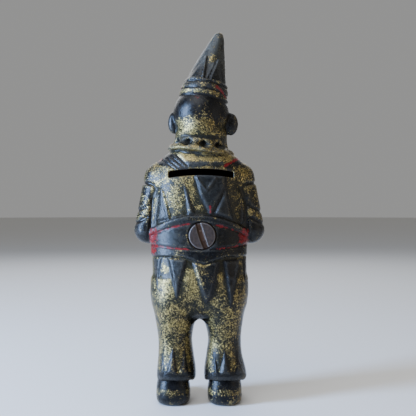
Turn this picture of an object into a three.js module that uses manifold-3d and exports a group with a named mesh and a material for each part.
// A cast-iron clown still bank: two hollow half castings, held together by one slotted machine screw.
// Millimetres, +Z up. The clown stands on its soles at z = 0 and faces -Y, so its right hand is at -X.
// The halves meet at a plane through the ears and arms, which lies PARTING_Y behind the origin.
// Every depth below is counted from that plane, positive towards the rear.
import * as THREE from "three";
import { mergeVertices } from "three/addons/utils/BufferGeometryUtils.js";
import Module from "manifold-3d";

const wasm = await Module();
wasm.setup();

// Driving dimensions
const HEIGHT = 171.5; // soles to hat tip
const WALL = 3; // casting thickness
const JOINT_GAP = 0.3; // what a file leaves between the halves' rims
const SEAT_DEPTH = 17; // parting plane to the rearmost point, at the seat of the trousers
const TOE_REACH = 22; // parting plane to the tips of the shoes
const PARTING_Y = (TOE_REACH - SEAT_DEPTH) / 2;

// Sides of the turned forms; the hollow inside is plainer than the outside
const BODY_SIDES = 22;
const LIMB_SIDES = 12;
const TRIM_SIDES = 10;
const SCREW_SIDES = 20;
const HOLLOW_SIDES = 12;
const MIN_RADIUS = 0.4; // of a ring that is too small to be hollow

// Coin slot, cut through the rear casting across the shoulders
const SLOT = { x: -1.2, z: 105.4, length: 29, width: 2.9, rise: 1.1 };
const SLOT_CUT = { from: 2, to: 32 }; // depths between which the slot is cut, through the rear wall only

// Assembly screw, on an axis parallel to Y
const SCREW = {
  x: -1.6,
  z: 77.8,
  headRadius: 5.9,
  headThickness: 2,
  headChamfer: 1.2,
  headRim: 1.3, // thickness left at the chamfer's foot
  headCrown: 0.15,
  headFace: 16.2, // parting plane to the outer face of the head
  driveSlotWidth: 1.9,
  driveSlotDepth: 1.3,
  driveSlotLean: THREE.MathUtils.degToRad(19),
  shankRadius: 2.4,
  tip: -13, // parting plane to the end of the thread, towards the front
  threadStart: 0.2, // plain end before the first turn
  threadLength: 15,
  threadPitch: 1.06,
  threadDepth: 0.45,
};
const SEAT_CLEARANCE = 0.35; // round the screw head
const HOLE_CLEARANCE = 0.35; // round the screw shank
const HOLE_BEYOND_TIP = 0.6; // how much deeper the tapped hole is than the screw
const COLLAR_RADIUS = 6.2; // rear collar round the screw
const POST_RADIUS = 5.2; // tapped post on the front casting
const POST_ROOT = -16; // depth at which the post ends, inside the front wall

// Locating lugs on the front casting's rim, which reach into the rear casting
const LUG = { width: 2.4, height: 7, reach: 2.2, root: 9, edge: 1.8 };

// ---------- solids ----------

function solidOf(geometry) {
  const bare = geometry.index ? geometry.toNonIndexed() : geometry.clone();
  bare.deleteAttribute("normal");
  bare.deleteAttribute("uv");
  const merged = mergeVertices(bare, 1e-4);
  const solid = new wasm.Manifold(
    new wasm.Mesh({
      numProp: 3,
      vertProperties: merged.attributes.position.array,
      triVerts: new Uint32Array(merged.index.array),
    }),
  );
  return solid;
}

function geometryOf(solid) {
  const mesh = solid.getMesh();
  const stride = mesh.numProp;
  const positions = new Float32Array(mesh.numVert * 3);
  for (let i = 0; i < mesh.numVert; i++) {
    positions.set(mesh.vertProperties.subarray(i * stride, i * stride + 3), i * 3);
  }
  const indexed = new THREE.BufferGeometry();
  indexed.setAttribute("position", new THREE.BufferAttribute(positions, 3));
  indexed.setIndex(new THREE.BufferAttribute(mesh.triVerts, 1));
  const faceted = indexed.toNonIndexed();
  faceted.computeVertexNormals();
  return faceted;
}

const union = (solids) => solids.reduce((all, next) => all.add(next));

// A lathe about Z from (radius, z) pairs, listed from the bottom up, starting and ending on the axis.
function turned(pairs, sides) {
  const profile = pairs.map(([radius, z]) => new THREE.Vector2(radius, z));
  const geometry = new THREE.LatheGeometry(profile, sides);
  geometry.rotateX(Math.PI / 2);
  return geometry;
}

// A body of stacked oval rings. Each ring is { z, half, rear, front, x }: its height, its half width,
// its depths behind and before the parting plane, and its centre. An inset shrinks every ring, for the
// hollow inside.
function stacked(rings, inset = 0, sides = BODY_SIDES) {
  const last = rings.length - 1;
  const shrunk = rings.map((ring, i) => ({
    z: ring.z + (i === 0 ? inset : i === last ? -inset : 0),
    half: Math.max(ring.half - inset, MIN_RADIUS),
    rear: Math.max(ring.rear - inset, MIN_RADIUS),
    front: Math.max(ring.front - inset, MIN_RADIUS),
    x: ring.x ?? 0,
  }));
  const pairs = [[0, shrunk[0].z], ...shrunk.map(({ z }) => [1, z]), [0, shrunk[last].z]];
  const geometry = turned(pairs, sides);
  const position = geometry.attributes.position;
  for (let i = 0; i < position.count; i++) {
    const row = i % pairs.length;
    const ring = shrunk[THREE.MathUtils.clamp(row - 1, 0, last)];
    const across = position.getX(i);
    const along = position.getY(i);
    const depth = along > 0 ? ring.rear : ring.front;
    position.setXY(i, ring.x + across * ring.half, along * depth);
  }
  return solidOf(geometry);
}

// A ball stretched to three radii.
function ball([x, y, z], [rx, ry, rz], inset = 0, sides = TRIM_SIDES) {
  const geometry = new THREE.SphereGeometry(1, sides, Math.round(sides * 0.6));
  geometry.rotateX(Math.PI / 2);
  geometry.scale(rx - inset, ry - inset, rz - inset);
  geometry.translate(x, y, z);
  return solidOf(geometry);
}

// A tapered limb with round ends, from one point and radius to another.
function limb(from, fromRadius, to, toRadius, inset = 0, sides = LIMB_SIDES) {
  const start = new THREE.Vector3(...from);
  const end = new THREE.Vector3(...to);
  const span = start.distanceTo(end);
  const startRadius = fromRadius - inset;
  const endRadius = toRadius - inset;
  const steps = 3;
  const pairs = [[0, -startRadius]];
  for (let i = 1; i <= steps; i++) {
    const angle = (i / steps) * (Math.PI / 2);
    pairs.push([startRadius * Math.sin(angle), -startRadius * Math.cos(angle)]);
  }
  for (let i = 0; i < steps; i++) {
    const angle = (i / steps) * (Math.PI / 2);
    pairs.push([endRadius * Math.cos(angle), span + endRadius * Math.sin(angle)]);
  }
  pairs.push([0, span + endRadius]);
  const geometry = turned(pairs, sides);
  const direction = end.clone().sub(start).normalize();
  const turn = new THREE.Quaternion().setFromUnitVectors(new THREE.Vector3(0, 0, 1), direction);
  geometry.applyQuaternion(turn);
  geometry.translate(start.x, start.y, start.z);
  return solidOf(geometry);
}

// A round bar along Y from one depth to another.
function bar(x, z, radius, fromY, toY, sides = 24) {
  const geometry = new THREE.CylinderGeometry(radius, radius, toY - fromY, sides);
  geometry.translate(x, (fromY + toY) / 2, z);
  return solidOf(geometry);
}

function block([x, y, z], [width, depth, height]) {
  const geometry = new THREE.BoxGeometry(width, depth, height);
  geometry.translate(x, y, z);
  return solidOf(geometry);
}

// ---------- the figure, as the outer shape and, inset by the wall, as the hollow inside ----------

const TORSO = [
  { z: 38.5, half: 12, rear: 6, front: 6 },
  { z: 42.5, half: 18, rear: 11.5, front: 10.5 },
  { z: 49.5, half: 20.6, rear: 15, front: 13.2 },
  { z: 58.5, half: 22, rear: SEAT_DEPTH, front: 14.8 },
  { z: 69, half: 21.9, rear: 16, front: 15.8 },
  { z: 79, half: 21.6, rear: 15, front: 16.6 },
  { z: 91, half: 21.4, rear: 15, front: 15.8 },
  { z: 102, half: 21.2, rear: 15.2, front: 14.4 },
  { z: 108, half: 20.6, rear: 14.4, front: 13 },
  { z: 112, half: 18.8, rear: 12.4, front: 11.8 },
  { z: 115, half: 15.8, rear: 10.8, front: 10.4 },
  { z: 117.5, half: 11, rear: 9.4, front: 9.2 },
];

const SASH = [
  { z: 65, half: 19, rear: 13, front: 13 },
  { z: 66.2, half: 22.9, rear: 16.9, front: 16.5 },
  { z: 77, half: 22.6, rear: 16, front: 17.6 },
  { z: 85.4, half: 22.4, rear: 15.9, front: 17.2 },
  { z: 86.6, half: 18, rear: 12.5, front: 13 },
];

const NECK = [
  { z: 111, half: 9.6, rear: 9, front: 9 },
  { z: 118, half: 11.8, rear: 11, front: 10.6, x: -0.8 },
  { z: 123, half: 12, rear: 11.2, front: 10.2, x: -1 },
  { z: 126, half: 11.2, rear: 10.4, front: 9.4, x: -1 },
  { z: 130, half: 9, rear: 8.8, front: 8, x: -1 },
];

const RUFF = { z: 116.6, radius: 14.5, pleatDepth: 1.4, pleats: 12, halfThickness: 1.5 };

// The trouser legs, on each side of the middle. The cuff of the clown's right leg flares outward.
const LEGS = [
  { x: 10.8, cuffOut: 0, cuffHalf: 9.2 },
  { x: -11.6, cuffOut: -0.6, cuffHalf: 10 },
];
const LEG = [
  { z: 10, half: 7, rear: 9, front: 9.4 },
  { z: 11.2, half: 9.2, rear: 11.2, front: 11.6, cuff: true },
  { z: 16.5, half: 9, rear: 10.8, front: 11, cuff: true },
  { z: 22.5, half: 8.1, rear: 9.8, front: 10 },
  { z: 30.5, half: 7.6, rear: 9.8, front: 9.6 },
  { z: 39.5, half: 9.3, rear: 13, front: 11.2 },
  { z: 48.5, half: 11, rear: 15.4, front: 13 },
  { z: 56.5, half: 10, rear: 13.5, front: 12 },
];

const SHOE_X = 11.9;
const SHOE = [
  { z: 0, half: 6.4, rear: 6.8, front: 19.8 },
  { z: 0.9, half: 7.7, rear: 8.2, front: 21.4 },
  { z: 3.2, half: 8, rear: 8.8, front: TOE_REACH },
  { z: 6.5, half: 8, rear: 8.8, front: 20.4 },
  { z: 9, half: 7.7, rear: 8.4, front: 15.4 },
  { z: 13, half: 6.6, rear: 7, front: 8.6 },
];

const HEAD = { x: -1, z: 133.8, radius: 12.9 };
const EARS = [
  { x: 11.6, z: 129.6, radii: [2.9, 2.6, 5.1] },
  { x: -14.6, z: 129, radii: [3.7, 2.6, 5.3] },
];
const NOSE = { z: 130.8, y: -13, radii: [2.4, 2.4, 2.3] };
const CHIN = { z: 125, y: -8.8, radii: [4.6, 4.1, 3.6] };

// The hat leans to the clown's right. Its rings are in its own frame, from the brim up.
const HAT_LEAN = THREE.MathUtils.degToRad(14.6);
const HAT_BASE = [-2, 0, 142];
const HAT = [
  { z: -1.4, half: 9.4, rear: 9.6, front: 9.6 },
  { z: 0, half: 10.5, rear: 10.8, front: 10.8 },
  { z: 6, half: 9.5, rear: 9.8, front: 9.8 },
  { z: 7, half: 8.7, rear: 9, front: 9 },
  { z: 16.5, half: 6.2, rear: 6.4, front: 6.4 },
  { z: 24.5, half: 4, rear: 4.1, front: 4.1 },
  { z: 28.6, half: 2.6, rear: 2.6, front: 2.6 },
  { z: 30.2, half: 1.3, rear: 1.3, front: 1.3 },
];

const ARM = {
  shoulder: [18.2, 0, 104],
  shoulderRadius: 7.4,
  elbow: [24, 0.4, 80],
  elbowRadius: 6.2,
  wrist: [11.5, -16.2, 78.4],
  wristRadius: 4.6,
};
const HAND = { centre: [6, -17.4, 78.8], radii: [5, 3.6, 4] };

const mirrored = ([x, y, z], side) => [x * side, y, z];

function hatFrame(solid) {
  const lean = new THREE.Matrix4().makeRotationY(-HAT_LEAN);
  const placed = new THREE.Matrix4().makeTranslation(...HAT_BASE).multiply(lean);
  return solid.transform(placed.elements);
}

function ruff() {
  const { z, radius, pleatDepth, pleats, halfThickness } = RUFF;
  const geometry = turned(
    [
      [0, z - halfThickness],
      [radius * 0.9, z - halfThickness],
      [radius, z],
      [radius * 0.7, z + halfThickness * 1.4],
      [0, z + halfThickness * 1.4],
    ],
    pleats * 3,
  );
  const position = geometry.attributes.position;
  for (let i = 0; i < position.count; i++) {
    const x = position.getX(i);
    const y = position.getY(i);
    const out = Math.hypot(x, y) / radius;
    const grown = 1 + (pleatDepth / radius / 2) * out * Math.cos(Math.atan2(y, x) * pleats);
    position.setXY(i, x * grown, y * grown);
  }
  return solidOf(geometry);
}

function legRings({ x, cuffOut, cuffHalf }) {
  return LEG.map((ring) => ({
    ...ring,
    x: ring.cuff ? x + cuffOut : x,
    half: ring.cuff ? Math.max(ring.half, cuffHalf) : ring.half,
  }));
}

// Everything that is hollow in the castings.
function hollowForms(inset) {
  const sides = (outer) => (inset > 0 ? HOLLOW_SIDES : outer);
  const { x, z, radius } = HEAD;
  const forms = [
    stacked(TORSO, inset, sides(BODY_SIDES)),
    stacked(NECK, inset, sides(BODY_SIDES)),
    hatFrame(stacked(HAT, inset, sides(BODY_SIDES))),
    ball([x, 0, z], [radius, radius, radius], inset, sides(BODY_SIDES)),
  ];
  for (const leg of LEGS) forms.push(stacked(legRings(leg), inset, sides(BODY_SIDES)));
  for (const side of [-1, 1]) {
    const shoe = SHOE.map((ring) => ({ ...ring, x: SHOE_X * side }));
    forms.push(stacked(shoe, inset, sides(BODY_SIDES)));
    const { shoulder, shoulderRadius, elbow, elbowRadius } = ARM;
    const bend = mirrored(elbow, side);
    forms.push(limb(mirrored(shoulder, side), shoulderRadius, bend, elbowRadius, inset, sides(LIMB_SIDES)));
  }
  return forms;
}

// What is solid iron, with no hollow of its own.
function solidForms() {
  const forms = [stacked(SASH), ruff()];
  for (const ear of EARS) forms.push(ball([ear.x, 0, ear.z], ear.radii));
  for (const { y, z, radii } of [NOSE, CHIN]) forms.push(ball([HEAD.x, y, z], radii));
  for (const side of [-1, 1]) {
    const { elbow, elbowRadius, wrist, wristRadius } = ARM;
    forms.push(limb(mirrored(elbow, side), elbowRadius, mirrored(wrist, side), wristRadius));
    forms.push(ball(mirrored(HAND.centre, side), HAND.radii));
  }
  return forms;
}

// ---------- cuts and inner features ----------

// The space on one side of the joint between the halves: side 1 is the rear, -1 the front.
function halfSpace(side) {
  const size = HEIGHT * 2;
  return block([0, (side * (size + JOINT_GAP)) / 2, HEIGHT / 2], [size, size, size]);
}

function coinSlot() {
  const { x, z, length, width, rise } = SLOT;
  const radius = (length * length) / (8 * rise);
  const sweep = Math.asin(length / 2 / radius);
  const outline = new THREE.Shape();
  outline.absarc(0, -radius, radius + width / 2, Math.PI / 2 + sweep, Math.PI / 2 - sweep, true);
  outline.absarc(0, -radius, radius - width / 2, Math.PI / 2 - sweep, Math.PI / 2 + sweep, false);
  outline.closePath();
  const depth = SLOT_CUT.to - SLOT_CUT.from;
  const geometry = new THREE.ExtrudeGeometry(outline, { depth, bevelEnabled: false, curveSegments: 10 });
  geometry.rotateX(Math.PI / 2);
  geometry.translate(x, SLOT_CUT.to, z + rise);
  return solidOf(geometry);
}

// Lugs at the flanks of the chest and of the hips, which line the halves up.
function lugs() {
  const found = [];
  for (const z of [58.5, 91]) {
    const ring = TORSO.find((candidate) => candidate.z === z);
    const inner = ring.half - WALL - LUG.edge;
    for (const side of [-1, 1]) {
      const centre = [side * (inner - LUG.width / 2), (LUG.reach - LUG.root) / 2, z];
      found.push(block(centre, [LUG.width, LUG.reach + LUG.root, LUG.height]));
    }
  }
  return union(found);
}

const outside = union([...hollowForms(0), ...solidForms()]);
const hollow = union(hollowForms(WALL));
const shell = outside.subtract(hollow);
const headSeat = SCREW.headFace - SCREW.headThickness;

function rearCasting() {
  const { x, z, headRadius, shankRadius } = SCREW;
  const collar = bar(x, z, COLLAR_RADIUS, 0, headSeat);
  const seat = bar(x, z, headRadius + SEAT_CLEARANCE, headSeat - JOINT_GAP, SEAT_DEPTH * 2);
  const hole = bar(x, z, shankRadius + HOLE_CLEARANCE, -1, SEAT_DEPTH * 2);
  const half = shell.add(collar).intersect(halfSpace(1));
  return half.subtract(seat).subtract(hole).subtract(coinSlot());
}

function frontCasting() {
  const { x, z, shankRadius, tip } = SCREW;
  const post = bar(x, z, POST_RADIUS, POST_ROOT, 0);
  const tapped = bar(x, z, shankRadius + HOLE_CLEARANCE, tip - HOLE_BEYOND_TIP, 1);
  const half = shell.add(post).intersect(halfSpace(-1));
  return half.add(lugs()).subtract(tapped);
}

function assemblyScrew() {
  const screw = SCREW;
  const shankEnd = screw.tip + screw.threadLength;
  const root = screw.shankRadius - screw.threadDepth;
  const pairs = [
    [0, screw.tip],
    [root, screw.tip],
  ];
  const lastTurn = shankEnd - screw.threadPitch;
  for (let y = screw.tip + screw.threadStart; y < lastTurn; y += screw.threadPitch) {
    pairs.push([screw.shankRadius, y + screw.threadPitch / 2]);
    pairs.push([root, y + screw.threadPitch]);
  }
  pairs.push([screw.shankRadius, shankEnd]);
  pairs.push([screw.shankRadius, headSeat]);
  pairs.push([screw.headRadius, headSeat]);
  pairs.push([screw.headRadius, headSeat + screw.headRim]);
  pairs.push([screw.headRadius - screw.headChamfer, screw.headFace - screw.headCrown]);
  pairs.push([0, screw.headFace]);
  const geometry = turned(pairs, SCREW_SIDES);
  geometry.rotateX(-Math.PI / 2);
  const driveSlot = new THREE.BoxGeometry(
    screw.driveSlotWidth,
    screw.driveSlotDepth * 2,
    screw.headRadius * 3,
  );
  driveSlot.rotateY(screw.driveSlotLean);
  driveSlot.translate(0, screw.headFace, 0);
  const slotted = solidOf(geometry).subtract(solidOf(driveSlot));
  return slotted.translate([screw.x, 0, screw.z]);
}

// ---------- the assembly ----------

const castIron = (color) => new THREE.MeshStandardMaterial({ color, roughness: 0.5, metalness: 0.6 });

const bank = new THREE.Group();
bank.position.y = PARTING_Y;

function addPiece(name, solid, material) {
  const mesh = new THREE.Mesh(geometryOf(solid), material);
  mesh.name = name;
  bank.add(mesh);
}

addPiece("front_casting", frontCasting(), castIron(0x6b5a33));
addPiece("rear_casting", rearCasting(), castIron(0x5e5030));
addPiece(
  "assembly_screw",
  assemblyScrew(),
  new THREE.MeshStandardMaterial({ color: 0x4a3f3a, roughness: 0.6, metalness: 0.8 }),
);

export default bank;
